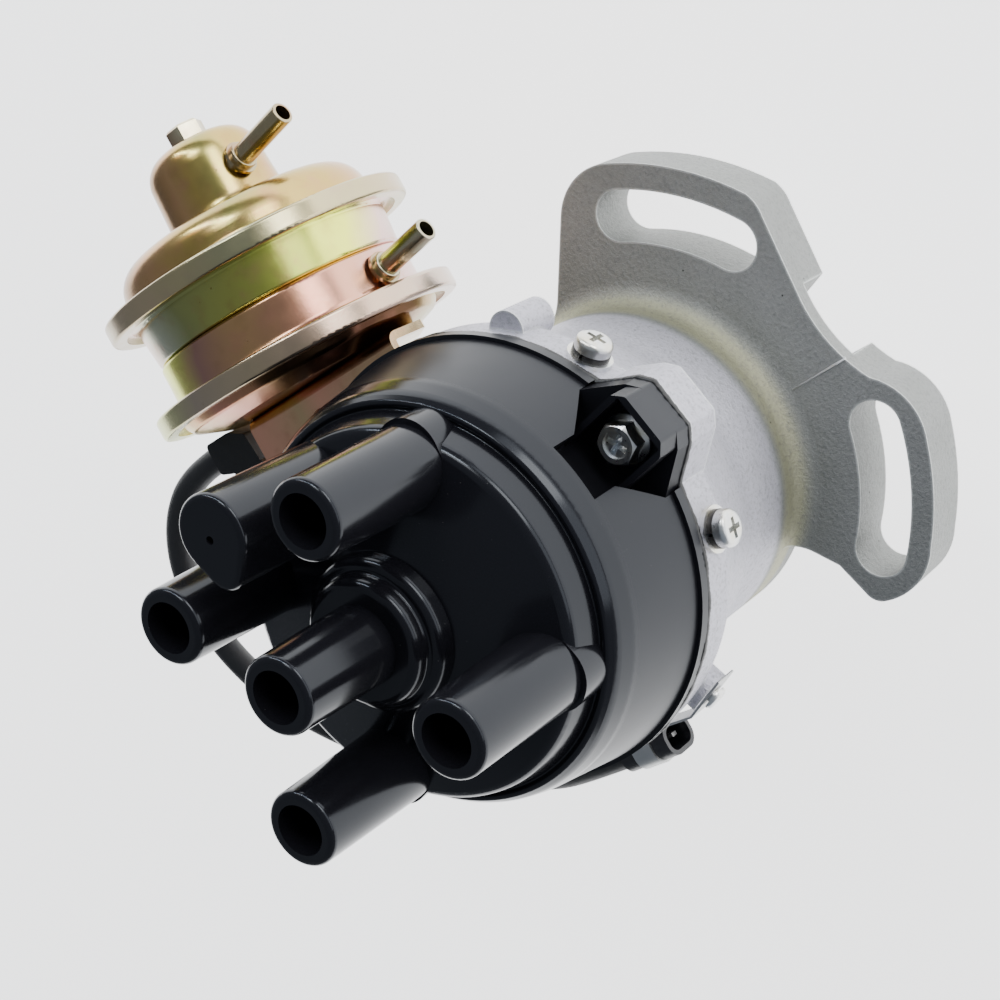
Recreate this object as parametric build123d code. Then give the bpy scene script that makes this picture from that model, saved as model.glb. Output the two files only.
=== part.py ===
from build123d import *
import os
from math import atan2, cos, degrees, hypot, radians, sin

# Ignition distributor for a four-cylinder engine, driven from the end of the camshaft.
# Frame, in millimetres: the origin is on the shaft's axis in the plane of the rear mounting face,
# +Z runs along the shaft towards the cap and +X towards the twin vacuum unit.

# ---------------------------------------------------------------- driving dimensions
FIT = 0.05            # radial clearance of a shaft turning in its bore
GAP = 0.3             # clearance between pieces that move past each other

# housing: bowl, neck and flange
SEAM_Z = 69.0         # height of the rim that carries the cap
BOWL_R = 44.8
BOWL_Z = 61.0         # the bowl is straight above this height
SHOULDER_R = BOWL_R - 5.0
SHOULDER_Z = 50.0
NECK_R = BOWL_R - 8.6
WALL = 3.4
FLOOR_Z = 22.0
FLANGE_TOP = 13.0
WEB = 4.0             # thickness of the web between the two ears
NECK_FLARE = 5.3      # how far the neck spreads where it meets the flange
SEAT_R = 30.0         # ring round the spigot that seats with the ears

# slotted mounting ears
SLOT_R = 55.0
SLOT_W = 11.0
SLOT_HALF_SPAN = 14.0
EAR_WALL = 5.5
EAR_ANGLES = (-40.0, -118.0)
PAD_ENDS = (-70.5, -88.5)   # the full-thickness ears stop here and the web begins
PAD_IN_R = 43.0

# spigot that enters the engine
SPIGOT_R = 23.0
SPIGOT_L = 16.0
NOSE_R = 14.0
NOSE_L = 2.0
RING_SECTION_R = 1.8
RING_Z = -8.0

# cap
CAP_WALL = 3.2
SEAL_T = 1.2
RIM_R = BOWL_R - 3.2  # outer edge of the skirt, where the rim bead starts
RIM_H = 21.5          # its height above the seam
BEAD_R = BOWL_R - 5.9 # crest of the rim bead
BEAD_H = 27.6
GROOVE_R = BOWL_R - 7.2
GROOVE_H = 26.2
FACE_R = BOWL_R - 8.8
FACE_H = 33.0
HUB_R = 15.0
HUB_H = 38.5
HUB_STEP_R = 12.3
HUB_RISES = (4.0, 3.5)     # heights of the two steps round the centre tower
TOWER_PITCH_R = 30.2
TOWER_TURN = 51.3     # the first tower's angle from +X
TOWER_R = 7.4
TOWER_BASE_R = 8.1
TOWER_H = 62.4        # mouths of the outer towers, above the seam
CENTRE_H = 69.1
SOCKET_R = 4.95
SOCKET_L = 22.0
LIP = 1.3             # rounding of the tower mouths
BOSS_R = 7.6          # blind boss between two towers
BOSS_TAIL_R = 4.2
BOSS_TURN = 6.0

# cap screws and the lugs under them
LUG_TURN = -77.8
LUG_R = BOWL_R - 0.5
LUG_H = 9.0
LUG_HALF_W = 13.0
EAR_FLOOR = 4.0
EAR_H = 9.6
EAR_RIB = 1.2         # thin wall round the screw
WRENCH_W = 11.6       # room for the wrench
POCKET_DEPTH = 8.0    # how far the pocket goes in behind the screw's axis
POCKET_SLOPE_H = 9.5
CAP_SCREW_R = 2.5
CAP_SCREW_L = 12.0

# screws round the bowl that hold the pickup's base plate
PLATE_SCREW_TURNS = (-55.0, -107.0)
PLATE_SCREW_Z = 63.5
PLATE_FLAT_R = BOWL_R - 0.6
PLATE_SCREW_R = 2.0

# shaft, bushes and drive
SHAFT_R = 6.25
STUB_R = 5.2          # upper end, inside the advance sleeve
STUB_TOP = 76.0
BUSH_WALL = 2.2
LOWER_BUSH_L = 13.0
OIL_SEAL_L = 6.0
UPPER_BUSH_L = 14.0
DRIVE_R = 13.5
DRIVE_L = 7.0
DOG_W = 6.0
DOG_H = 5.0
DOG_OFFSET = 0.8
DRIVE_PIN_R = 2.0

# centrifugal advance
GOVERNOR_R = 28.0
GOVERNOR_T = 2.0
WEIGHT_T = 6.0
WEIGHT_PIVOT_R = 19.0
WEIGHT_IN_R = 12.5
WEIGHT_OUT_R = 24.0
WEIGHT_SPAN = 118.0
WEIGHT_PIN_R = 2.0
FINGER_PITCH_R = 12.0
FINGER_R = 1.5
ADVANCE = 12.0        # full centrifugal advance, degrees
SLEEVE_R = 8.0
YOKE_T = 2.0
POST_PITCH_R = 12.0   # posts that the governor springs pull on
POST_TURN = 75.0
POST_R = 1.2
SPRING_WIRE = 0.35

# pickup
BASE_Z = 52.8
BASE_T = 1.5
BASE_R = BOWL_R - WALL - 4.5
PICKUP_R = BASE_R - 3.9
MAGNET_R = PICKUP_R - 2   # outer face of the magnet and the core on it
PICKUP_T = 1.5
RELUCTOR_R = 14.0
RELUCTOR_T = 6.0
AIR_GAP = 0.4

# vacuum unit: its axis is parallel to X
CAN_Y = 31.2
CAN_Z = 57.2
DISH_X = BOWL_R + 4.4       # face that the bracket carries
RIM_B_X = DISH_X + 6.5      # inner crimped rim
JOINT_X = RIM_B_X + 10.9    # where the two drums meet
RIM_A_X = JOINT_X + 11.0    # outer crimped rim
DOME_X = RIM_A_X + 10.3
TUBE_X = DOME_X + 17.4
CRIMP_R = 34.5
DRUM_R = CRIMP_R - 6.1
SHEET = 1.2
TUBE_R = 13.0
TUBE_TIP_R = 12.0
VACUUM_TRAVEL = 5.4
NIPPLE_R = 2.35
NIPPLE_BORE_R = 1.7
NIPPLE_LEAN = 7.0
BRACKET_T = 1.8
ROD_W = 5.0
ROD_T = 1.5
ROD_HOLE_R = 5.0
EYE_PIN_R = 1.6

# rotor
ROTOR_Z = 91.5        # underside of the rotor's blade
BLADE_T = 1.8
ROTOR_TIP_R = 26.0
SPARK_GAP = 0.7
BRUSH_R = 2.5
BRUSH_L = 7.5
BRUSH_TRAVEL = 1.2
PIN_R = 3.5           # brass terminals

# pickup lead, its duct and its connector
LEAD_R = 3.0
PLUG_W = 7.0
PLUG_L = 12.5
PLUG_H = 9.6


# ---------------------------------------------------------------- shared forms
def turned(*profile):
    """Solid turned about Z from (radius, height[, corner rounding]) points."""
    points = [(p[0], p[1]) for p in profile]
    roundings = [p[2] if len(p) > 2 else 0 for p in profile]
    return revolve(Plane.XZ * make_face(FilletPolyline(*points, radius=roundings, close=True)), Axis.Z)


def rod(radius, low, high, x=0, y=0):
    """Upright round bar between two heights."""
    return Pos(x, y, low) * Cylinder(radius, high - low, align=(Align.CENTER, Align.CENTER, Align.MIN))


def tube(outer, inner, low, high, x=0, y=0):
    return rod(outer, low, high, x, y) - rod(inner, low - 1, high + 1, x, y)


def block(x0, x1, y0, y1, z0, z1):
    return Pos((x0 + x1) / 2, (y0 + y1) / 2, (z0 + z1) / 2) * Box(x1 - x0, y1 - y0, z1 - z0)


def slab(sketch, low, high):
    """Flat outline drawn in XY, raised from one height to another."""
    return Pos(0, 0, low) * extrude(sketch, high - low)


def sector(inner, outer, start, end):
    """Flat ring sector between two angles."""
    rim = CenterArc((0, 0), outer, start, end - start)
    hole = CenterArc((0, 0), inner, start, end - start)
    return make_face([rim, Line(rim @ 1, hole @ 1), hole, Line(hole @ 0, rim @ 0)])


def turn(angle):
    return Rot(0, 0, angle)


def polar(radius, angle):
    return radius * cos(radians(angle)), radius * sin(radians(angle))


def radial_frame(angle, radius, height):
    """Frame on the bowl's side whose Z points straight out from the shaft."""
    x, y = polar(radius, angle)
    return Plane(origin=(x, y, height), x_dir=(0, 0, 1), z_dir=(cos(radians(angle)), sin(radians(angle)), 0))


def can_frame(x=0):
    """Frame on the vacuum unit's axis whose Z runs along +X."""
    return Plane(origin=(x, CAN_Y, CAN_Z), x_dir=(0, -1, 0), z_dir=(1, 0, 0))


def coil(radius, wire, low, high, turns):
    """Round-wire compression spring on Z, wire centre at the given radius."""
    rise = high - low - 2 * wire
    path = Pos(0, 0, low + wire) * Helix(rise / turns, rise, radius)
    return sweep(Plane(origin=path @ 0, z_dir=path % 0) * Circle(wire), path, is_frenet=True)


# ---------------------------------------------------------------- housing
LUG_ANGLES = (LUG_TURN, LUG_TURN + 180)
CAP_Z = SEAM_Z + SEAL_T
SPIGOT_BORE_R = SHAFT_R + FIT + BUSH_WALL
BRACKET_LUG_R = 4.2
BRACKET_LUG_ANGLES = (33.2, 51.6)
BRACKET_LUG_PITCH_R = BOWL_R + 3.7
BRACKET_LUGS = [polar(BRACKET_LUG_PITCH_R, angle) for angle in BRACKET_LUG_ANGLES]
BRACKET_TOP = SEAM_Z - 3.0
BRACKET_Z = BRACKET_TOP - BRACKET_T
CLIP_TURN = -156.0
CLIP_BOSS_R = 4.6
CLIP_BOSS_Z = 57.0
CLIP_SEAT_R = BOWL_R + 1.6
RIVET_R = 1.5
DUCT_X = DISH_X - 2.8       # the lead leaves the duct beside the dish
DUCT_START = (20.0, 36.9)
DUCT_END = (DUCT_X - 3.4, 59.5)
DUCT_W = 8.0
DUCT_H = 7.0
DUCT_Z = 60.0


def bowl_profile(inset, top):
    """Half-section of the bowl and neck above the flange, set in by a wall."""
    return [
        (NECK_R - inset, SHOULDER_Z - 14, 18),
        (SHOULDER_R - inset, SHOULDER_Z, 12),
        (BOWL_R - inset, BOWL_Z, 6),
        (BOWL_R - inset, top),
        (0, top),
    ]


def ear_slot(angle, width):
    """Outline that follows a mounting slot, as wide as asked."""
    path = CenterArc((0, 0), SLOT_R, angle - SLOT_HALF_SPAN, 2 * SLOT_HALF_SPAN)
    return SlotArc(path, width)


def lug_outline(half=LUG_HALF_W, grow=0.0):
    """Cap ear seen along the shaft, on +X: wide at the skirt and cropped at its outer corners."""
    root = LUG_R - POCKET_DEPTH - 1
    crop = LUG_R + 6.5 + grow
    tip = LUG_R + 8.7 + grow
    shoulder = LUG_R - 3 if half > 7.5 else crop - 1.5
    points = [(root, -half - grow), (shoulder, -half - grow), (crop, -min(half, 7.5)), (tip, -5)]
    if half <= 7.5:
        points.pop(1)
    return make_face(FilletPolyline(*points, *[(x, -y) for x, y in reversed(points)], radius=1.0, close=True))


def flange_outline():
    """Edge of the flange: two ears round the slots, the web between them, straight sides to the neck."""
    ear_r = SLOT_R + SLOT_W / 2 + EAR_WALL
    first, last = EAR_ANGLES

    def edge(inward, angle):
        return polar(ear_r - inward, angle)

    neck_a, neck_b = (35.6, 4.1), (-36.1, -30.7)
    a0, a1, a2, a3 = edge(8.65, -11.5), edge(0, first + 15), edge(0, first - 13), edge(2.6, -57.6)
    web_a, web_b = edge(11.4, -73.0), edge(8.35, -94.0)
    b0, b1, b2, b3 = edge(0.8, last + 10), edge(0.8, last - 10), edge(6.75, -142.0), edge(11.4, -142.7)
    return make_face([
        Line(neck_a, a0),
        ThreePointArc(a0, edge(2.1, -17.3), a1),
        ThreePointArc(a1, edge(0, first), a2),
        ThreePointArc(a2, edge(0.9, -55.4), a3),
        Line(a3, web_a),
        ThreePointArc(web_a, edge(12.3, -84.7), web_b),
        ThreePointArc(web_b, edge(2.9, -99.6), b0),
        ThreePointArc(b0, edge(0.8, last), b1),
        ThreePointArc(b1, edge(2.75, -137.2), b2),
        ThreePointArc(b2, edge(9.0, -143.1), b3),
        Line(b3, neck_b),
        Line(neck_b, (0, 0)),
        Line((0, 0), neck_a),
    ])


def flange():
    """Ears and web, with the neck's flare kept inside their edge."""
    outline = flange_outline()
    first, last = PAD_ENDS
    thick = sector(PAD_IN_R, 2 * SLOT_R, first, 30) + sector(PAD_IN_R, 2 * SLOT_R, last - 90, last)
    shape = slab(outline, FLANGE_TOP - WEB, FLANGE_TOP) + slab(outline & thick, 0, FLANGE_TOP)
    flare = turned((NECK_R - 2, FLANGE_TOP - 1), (NECK_R + NECK_FLARE + 1, FLANGE_TOP - 1),
                   (NECK_R + NECK_FLARE, FLANGE_TOP), (NECK_R, FLANGE_TOP, NECK_FLARE - 0.3),
                   (NECK_R, FLANGE_TOP + 9), (NECK_R - 2, FLANGE_TOP + 9))
    shape += flare & slab(outline, 0, SEAM_Z)
    shape += rod(SEAT_R, 0, FLANGE_TOP)
    for angle in EAR_ANGLES:
        shape -= slab(ear_slot(angle, SLOT_W), -1, FLANGE_TOP + 1)
    return shape


def spigot():
    groove_floor = SPIGOT_R - 2 * RING_SECTION_R
    groove = tube(SPIGOT_R + 1, groove_floor, RING_Z - RING_SECTION_R - 0.2, RING_Z + RING_SECTION_R + 0.2)
    body = turned((0, -SPIGOT_L - NOSE_L), (NOSE_R, -SPIGOT_L - NOSE_L), (NOSE_R, -SPIGOT_L),
                  (SPIGOT_R, -SPIGOT_L, 1.5), (SPIGOT_R, 1), (0, 1))
    return body - groove


def housing():
    outer = turned((0, 1), (SPIGOT_R, 1), (NECK_R, FLANGE_TOP - WEB, 2), *bowl_profile(0, SEAM_Z))
    shape = outer + flange() + spigot()
    for angle in LUG_ANGLES:
        shape += turn(angle) * slab(lug_outline(), SEAM_Z - LUG_H, SEAM_Z)
    for x, y in BRACKET_LUGS:
        inward = Pos(x * 0.78, y * 0.78) * Circle(BRACKET_LUG_R)
        arm = make_hull((inward + Pos(x, y) * Circle(BRACKET_LUG_R)).edges())
        shape += slab(arm, BRACKET_Z - 5, BRACKET_Z)
    shape += radial_frame(CLIP_TURN, NECK_R, CLIP_BOSS_Z) * rod(CLIP_BOSS_R, 0, CLIP_SEAT_R - NECK_R)
    fin_x, fin_y = polar(BOWL_R, -33)
    shape += rod(3.8, SEAM_Z - 14, SEAM_Z - 3, fin_x, fin_y)
    cavity = turned((0, FLOOR_Z), (NECK_R - WALL, FLOOR_Z, 3), *bowl_profile(WALL, SEAM_Z + 1))
    for angle in PLATE_SCREW_TURNS:
        pad_in = BASE_R + 0.1
        cavity -= radial_frame(angle, pad_in, PLATE_SCREW_Z) * Cylinder(
            4.4, BOWL_R - pad_in, align=(Align.CENTER, Align.CENTER, Align.MIN))
    shape -= cavity
    shape -= rod(SPIGOT_BORE_R, -SPIGOT_L - NOSE_L - 1, FLOOR_Z + 1)
    for angle in PLATE_SCREW_TURNS:
        flat = radial_frame(angle, PLATE_FLAT_R + 5, PLATE_SCREW_Z) * Box(15, 15, 10)
        hole = radial_frame(angle, BOWL_R, PLATE_SCREW_Z) * Cylinder(PLATE_SCREW_R, 30)
        shape -= flat
        shape -= hole
    for angle in LUG_ANGLES:
        x, y = polar(LUG_R, angle)
        shape -= rod(CAP_SCREW_R, SEAM_Z - LUG_H - 1, SEAM_Z + 1, x, y)
    for x, y in BRACKET_LUGS:
        shape -= rod(PLATE_SCREW_R, BRACKET_Z - 6, BRACKET_Z + 1, x, y)
    rod_window = block(20, BRACKET_X + 1, CAN_Y - 3.5, CAN_Y + 3.5, CAN_Z - 2.2, CAN_Z + 2.4)
    shape -= rod_window
    shape -= duct_bar(DUCT_W, DUCT_H, 6)
    return shape - radial_frame(CLIP_TURN, CLIP_SEAT_R, CLIP_BOSS_Z) * rod(RIVET_R, -5, 1)


def o_ring():
    """Drawn as squeezed in the engine, flush with the spigot."""
    return Pos(0, 0, RING_Z) * Torus(SPIGOT_R - RING_SECTION_R, RING_SECTION_R)


# ---------------------------------------------------------------- cap
TOWER_ANGLES = [TOWER_TURN + 90 * i for i in range(4)]
TOWER_POINTS = [polar(TOWER_PITCH_R, angle) for angle in TOWER_ANGLES]
TOWER_TOP = SEAM_Z + TOWER_H
CENTRE_TOP = SEAM_Z + CENTRE_H
SOCKET_Z = TOWER_TOP - SOCKET_L
CENTRE_SOCKET_Z = CENTRE_TOP - SOCKET_L
HUB_STEP_Z = SEAM_Z + HUB_H + HUB_RISES[0]
HUB_TOP_Z = HUB_STEP_Z + HUB_RISES[1]
POCKET_TOP = SEAM_Z + RIM_H - 1.0
BRUSH_Z = ROTOR_Z + BLADE_T + GAP
SPRING_TOP = BRUSH_Z + BRUSH_L + 6.5
TERMINAL_Z = ROTOR_Z - 4.0


def cap_section():
    """Half-section of the skirt, the rim bead with the groove behind it, and the face."""
    return [
        (0, CAP_Z),
        (BOWL_R, CAP_Z),
        (RIM_R, SEAM_Z + RIM_H, 8),
        (RIM_R - 1.0, SEAM_Z + RIM_H + 3.7, 4.5),
        (BEAD_R, SEAM_Z + BEAD_H, 0.9),
        (GROOVE_R, SEAM_Z + GROOVE_H, 0.35),
        (FACE_R, SEAM_Z + FACE_H, 2.6),
        (HUB_R, SEAM_Z + HUB_H, 2),
        (0, SEAM_Z + HUB_H),
    ]


def cap_hollow_section():
    """Half-section of the room inside the cap."""
    return [
        (0, CAP_Z - 1),
        (BOWL_R - CAP_WALL, CAP_Z - 1),
        (RIM_R - CAP_WALL, SEAM_Z + RIM_H - 0.65 * CAP_WALL, 3),
        (BEAD_R + 0.5 - CAP_WALL, SEAM_Z + BEAD_H - 0.2 - CAP_WALL, 2),
        (FACE_R - CAP_WALL, SEAM_Z + FACE_H - CAP_WALL, 3),
        (HUB_R, SEAM_Z + HUB_H - CAP_WALL, 2),
        (0, SEAM_Z + HUB_H - CAP_WALL),
    ]


def tower(base, top, base_r, mouth_r, x=0, y=0):
    """Slightly tapered socket tower with a rounded lip."""
    return Pos(x, y, 0) * turned((0, base), (base_r, base), (mouth_r, top, LIP), (0, top))


def gusset(angle):
    """Shoulder that carries a tower's outer side down to the rim bead."""
    end_r = TOWER_BASE_R - 1.1
    outline = make_hull((Pos(TOWER_PITCH_R, 0) * Circle(TOWER_BASE_R)
                         + Pos(BEAD_R + 0.3 - end_r, 0) * Circle(end_r)).edges())
    return turn(angle) * slab(outline, SEAM_Z + BEAD_H - 3, SEAM_Z + FACE_H + 0.4)


def blind_boss():
    """Solid teardrop boss beside the towers, with a vent hole in its face."""
    outline = make_hull((Pos(29.4, 0) * Circle(BOSS_R) + Pos(23.6, 2.0) * Circle(BOSS_TAIL_R)).edges())
    solid = slab(outline, SEAM_Z + 28, TOWER_TOP - 0.5)
    solid = fillet(solid.faces().sort_by(Axis.Z)[-1].edges(), 1.2)
    return turn(BOSS_TURN) * (solid - rod(0.8, TOWER_TOP - 4, TOWER_TOP + 1, 28.8, 0.5))


def ear_pocket(wall=0.0):
    """Recess in the skirt over a screw ear: wide at the ear, then only as wide as the wrench."""
    low = CAP_Z + EAR_FLOOR
    foot, narrow = LUG_HALF_W - 0.6 + wall, WRENCH_W / 2 + wall
    side = [(foot, CAP_Z - 1), (foot, low), (narrow, low + POCKET_SLOPE_H), (narrow, POCKET_TOP + wall)]
    outline = Polyline(*side, *[(-y, z) for y, z in reversed(side)], close=True)
    back = Plane(origin=(LUG_R - POCKET_DEPTH - wall, 0, 0), x_dir=(0, 1, 0), z_dir=(1, 0, 0))
    return back * extrude(make_face(outline), POCKET_DEPTH + wall + 8)


def cap_ear():
    """Screw ear: a foot plate, and on it a thin wall round the screw that runs back into the pocket."""
    foot = slab(lug_outline(), CAP_Z, CAP_Z + EAR_FLOOR)
    room = Pos(LUG_R - 9, 0) * Rectangle(2 * (17.5 - EAR_RIB), WRENCH_W)
    wall = lug_outline(WRENCH_W / 2 + EAR_RIB) - room
    return foot + slab(wall, CAP_Z + EAR_FLOOR, CAP_Z + EAR_H)


def cap():
    hub = turned((0, SEAM_Z + HUB_H), (HUB_R, SEAM_Z + HUB_H), (HUB_R, HUB_STEP_Z, 1.8),
                 (HUB_STEP_R, HUB_STEP_Z, 0.8), (HUB_STEP_R, HUB_TOP_Z, 1.8), (0, HUB_TOP_Z))
    shape = turned(*cap_section())
    shape += tube(BOWL_R + 0.5, BOWL_R - 2, CAP_Z, CAP_Z + 2.2)
    shape += hub
    shape += tower(SEAM_Z + HUB_H, CENTRE_TOP, TOWER_R + 0.5, TOWER_R)
    for angle, (x, y) in zip(TOWER_ANGLES, TOWER_POINTS):
        shape += tower(SEAM_Z + 20, TOWER_TOP, TOWER_BASE_R, TOWER_R, x, y)
        shape += gusset(angle)
    shape += blind_boss()
    cavity = turned(*cap_hollow_section())
    for x, y in TOWER_POINTS:
        cavity -= rod(PIN_R + 2.5, ROTOR_Z + BLADE_T + 1.5, SEAM_Z + HUB_H, x, y)
    cavity -= rod(BRUSH_R + 3.5, BRUSH_Z + 1.5, SEAM_Z + HUB_H)
    for angle in LUG_ANGLES:
        shape -= turn(angle) * ear_pocket()
        shape += turn(angle) * cap_ear()
        cavity -= turn(angle) * ear_pocket(CAP_WALL)
    shape -= cavity
    for angle in LUG_ANGLES:
        x, y = polar(LUG_R, angle)
        shape -= rod(CAP_SCREW_R + 0.2, CAP_Z - 1, CAP_Z + EAR_H, x, y)
    for x, y in TOWER_POINTS:
        shape -= rod(SOCKET_R, SOCKET_Z, TOWER_TOP + 1, x, y)
        shape -= rod(PIN_R, TERMINAL_Z - 1, SOCKET_Z + 1, x, y)
    shape -= rod(SOCKET_R, CENTRE_SOCKET_Z, CENTRE_TOP + 1)
    shape -= rod(PIN_R, SPRING_TOP, CENTRE_SOCKET_Z + 1)
    shape -= rod(BRUSH_R + FIT, BRUSH_Z - 1, SPRING_TOP)
    return shape


def cap_seal():
    outline = Circle(BOWL_R + 0.4) + Sketch()
    for angle in LUG_ANGLES:
        outline += turn(angle) * lug_outline(grow=0.2)
    ring = slab(outline - Circle(BOWL_R - WALL), SEAM_Z, CAP_Z)
    for angle in LUG_ANGLES:
        x, y = polar(LUG_R, angle)
        ring -= rod(CAP_SCREW_R + 0.2, SEAM_Z - 1, CAP_Z + 1, x, y)
    return ring


def cap_screws():
    """Hex flange screws with a dished cross recess."""
    screws = []
    seat = CAP_Z + EAR_FLOOR
    top = seat + 4.8
    for angle in LUG_ANGLES:
        x, y = polar(LUG_R, angle)
        flange = turned((0, seat), (4.9, seat, 0.3), (4.9, seat + 0.9, 0.3), (3.8, seat + 1.5), (0, seat + 1.5))
        head = slab(RegularPolygon(3.6, 6, major_radius=False), seat + 1, top)
        head = head & turned((0, seat), (4.2, seat), (4.2, top - 0.6), (3.5, top), (0, top))
        recess = rod(2.6, top - 0.5, top + 1) + slab(Rectangle(4.2, 1.1) + Rectangle(1.1, 4.2), top - 2.2, top)
        screw = Pos(x, y, 0) * (turn(angle + 20) * (flange + head - recess))
        screws.append(screw + rod(CAP_SCREW_R, seat - CAP_SCREW_L, seat + 1, x, y))
    return screws


def outer_terminals():
    return [rod(PIN_R, TERMINAL_Z, SOCKET_Z, x, y) for x, y in TOWER_POINTS]


def centre_terminal():
    return rod(PIN_R, SPRING_TOP, CENTRE_SOCKET_Z)


def carbon_brush():
    return fillet(rod(BRUSH_R, BRUSH_Z, BRUSH_Z + BRUSH_L).faces().sort_by(Axis.Z)[0].edges(), 1.0)


def brush_spring():
    return coil(1.9, 0.35, BRUSH_Z + BRUSH_L, SPRING_TOP, 6)


# ---------------------------------------------------------------- shaft, drive and governor
SHAFT_LOW = -SPIGOT_L - NOSE_L - 0.5 - DRIVE_L
GOVERNOR_Z = FLOOR_Z + 3.0
WEIGHT_Z = GOVERNOR_Z + GOVERNOR_T + GAP
YOKE_Z = WEIGHT_Z + WEIGHT_T + GAP
SEAL_Z = -SPIGOT_L + LOWER_BUSH_L + 2
SLEEVE_TOP = STUB_TOP - 4.0


def shaft():
    body = rod(SHAFT_R, SHAFT_LOW, GOVERNOR_Z + GOVERNOR_T) + rod(STUB_R, GOVERNOR_Z, STUB_TOP)
    pin_z = SHAFT_LOW + DRIVE_L / 2
    return body - Pos(0, 0, pin_z) * Rot(90, 0, 0) * Cylinder(DRIVE_PIN_R, 4 * SHAFT_R)


def bush(low, length):
    """Sleeve between the shaft and the spigot's bore: both bushes and the oil seal."""
    return tube(SPIGOT_BORE_R, SHAFT_R + FIT, low, low + length)


def thrust_washer():
    return tube(SPIGOT_BORE_R + 2, SHAFT_R + FIT, FLOOR_Z, FLOOR_Z + 1.2)


def drive_coupling():
    """Steel coupling with two dogs set off the centre line, so that it goes in one way only."""
    top = SHAFT_LOW + DRIVE_L
    body = tube(DRIVE_R, SHAFT_R, SHAFT_LOW, top)
    dogs = slab(Circle(DRIVE_R) & (Pos(0, DOG_OFFSET) * Rectangle(4 * DRIVE_R, DOG_W)), SHAFT_LOW - DOG_H, SHAFT_LOW)
    body += dogs - rod(SHAFT_R + 1, SHAFT_LOW - DOG_H - 1, SHAFT_LOW)
    return body - Pos(0, 0, SHAFT_LOW + DRIVE_L / 2) * Rot(90, 0, 0) * Cylinder(DRIVE_PIN_R, 4 * DRIVE_R)


def drive_pin():
    return Pos(0, 0, SHAFT_LOW + DRIVE_L / 2) * Rot(90, 0, 0) * Cylinder(DRIVE_PIN_R, 2 * DRIVE_R - 1)


def governor_plate():
    plate = slab(Circle(GOVERNOR_R) - Circle(SHAFT_R), GOVERNOR_Z, GOVERNOR_Z + GOVERNOR_T)
    for angle in (90, 270):
        x, y = polar(GOVERNOR_R + 6, angle)
        plate -= rod(14, 0, SEAM_Z, x, y)
    return plate


def weight_pins():
    pins = []
    for angle in (0, 180):
        x, y = polar(WEIGHT_PIVOT_R, angle)
        pins.append(rod(WEIGHT_PIN_R, GOVERNOR_Z + GOVERNOR_T, YOKE_Z + YOKE_T + 3, x, y))
    return pins


def weight(angle):
    """Crescent flyweight on its pivot, with a slot for the sleeve's finger."""
    crescent = sector(WEIGHT_IN_R, WEIGHT_OUT_R, 0, WEIGHT_SPAN) + Pos(WEIGHT_PIVOT_R, 0) * Circle(5)
    crescent += make_hull((Pos(WEIGHT_PIVOT_R, 0) * Circle(4) + Pos(FINGER_PITCH_R, 0) * Circle(2.8)).edges())
    crescent -= Pos(WEIGHT_PIVOT_R, 0) * Circle(WEIGHT_PIN_R + FIT)
    crescent -= Pos(FINGER_PITCH_R - 0.8, 0) * SlotCenterToCenter(2.4, 2 * (FINGER_R + GAP))
    return turn(angle) * slab(crescent, WEIGHT_Z, WEIGHT_Z + WEIGHT_T)


def governor_springs():
    """Tension springs from the weight pins to the yoke's posts, hooked there by loose long loops."""
    post_x, post_y = polar(POST_PITCH_R, POST_TURN + ADVANCE / 2)
    along = degrees(atan2(post_y, post_x - WEIGHT_PIVOT_R))
    reach = hypot(post_y, post_x - WEIGHT_PIVOT_R)
    low, high = -SPRING_WIRE, SPRING_WIRE
    body = Pos(reach / 2, 0, 0) * Rot(0, 90, 0) * Cylinder(1.5, reach - 11)
    pin_eye = Circle(WEIGHT_PIN_R + 1) - Circle(WEIGHT_PIN_R)
    tail = Pos(3.9, 0) * Rectangle(3.8, 0.8) + Pos(reach - 4.9, 0) * Rectangle(3.8, 0.8)
    loop = Pos(reach, 0) * (SlotCenterToCenter(2.6, 5.4) - SlotCenterToCenter(2.6, 4.0))
    spring = body + slab(pin_eye + tail + loop, low, high)
    spring = Pos(WEIGHT_PIVOT_R, 0, YOKE_Z + YOKE_T + 1.9) * turn(along) * spring
    return [turn(side) * spring for side in (0, 180)]


def advance_sleeve():
    """Sleeve that turns on the shaft's upper end, with the yoke and fingers that the weights drive."""
    yoke = make_hull((Pos(FINGER_PITCH_R, 0) * Circle(3.2) + Pos(-FINGER_PITCH_R, 0) * Circle(3.2)).edges())
    ears = make_hull((Pos(POST_PITCH_R, 0) * Circle(2.6) + Pos(-POST_PITCH_R, 0) * Circle(2.6)).edges())
    shape = slab(yoke + turn(POST_TURN) * ears + Circle(SLEEVE_R), YOKE_Z, YOKE_Z + YOKE_T)
    shape += rod(SLEEVE_R, YOKE_Z, SLEEVE_TOP)
    for side in (0, 180):
        x, y = polar(POST_PITCH_R, POST_TURN + side)
        shape += rod(POST_R, YOKE_Z, YOKE_Z + YOKE_T + 3, x, y)
        x, y = polar(FINGER_PITCH_R, side)
        shape += rod(FINGER_R, WEIGHT_Z + 1, YOKE_Z, x, y)
    return shape - rod(STUB_R + FIT, WEIGHT_Z, SLEEVE_TOP + 1)


# ---------------------------------------------------------------- pickup
PICKUP_Z = BASE_Z + BASE_T + GAP
RELUCTOR_Z = PICKUP_Z + PICKUP_T + 2.6
EYE_Z = CAN_Z - ROD_T / 2


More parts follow.
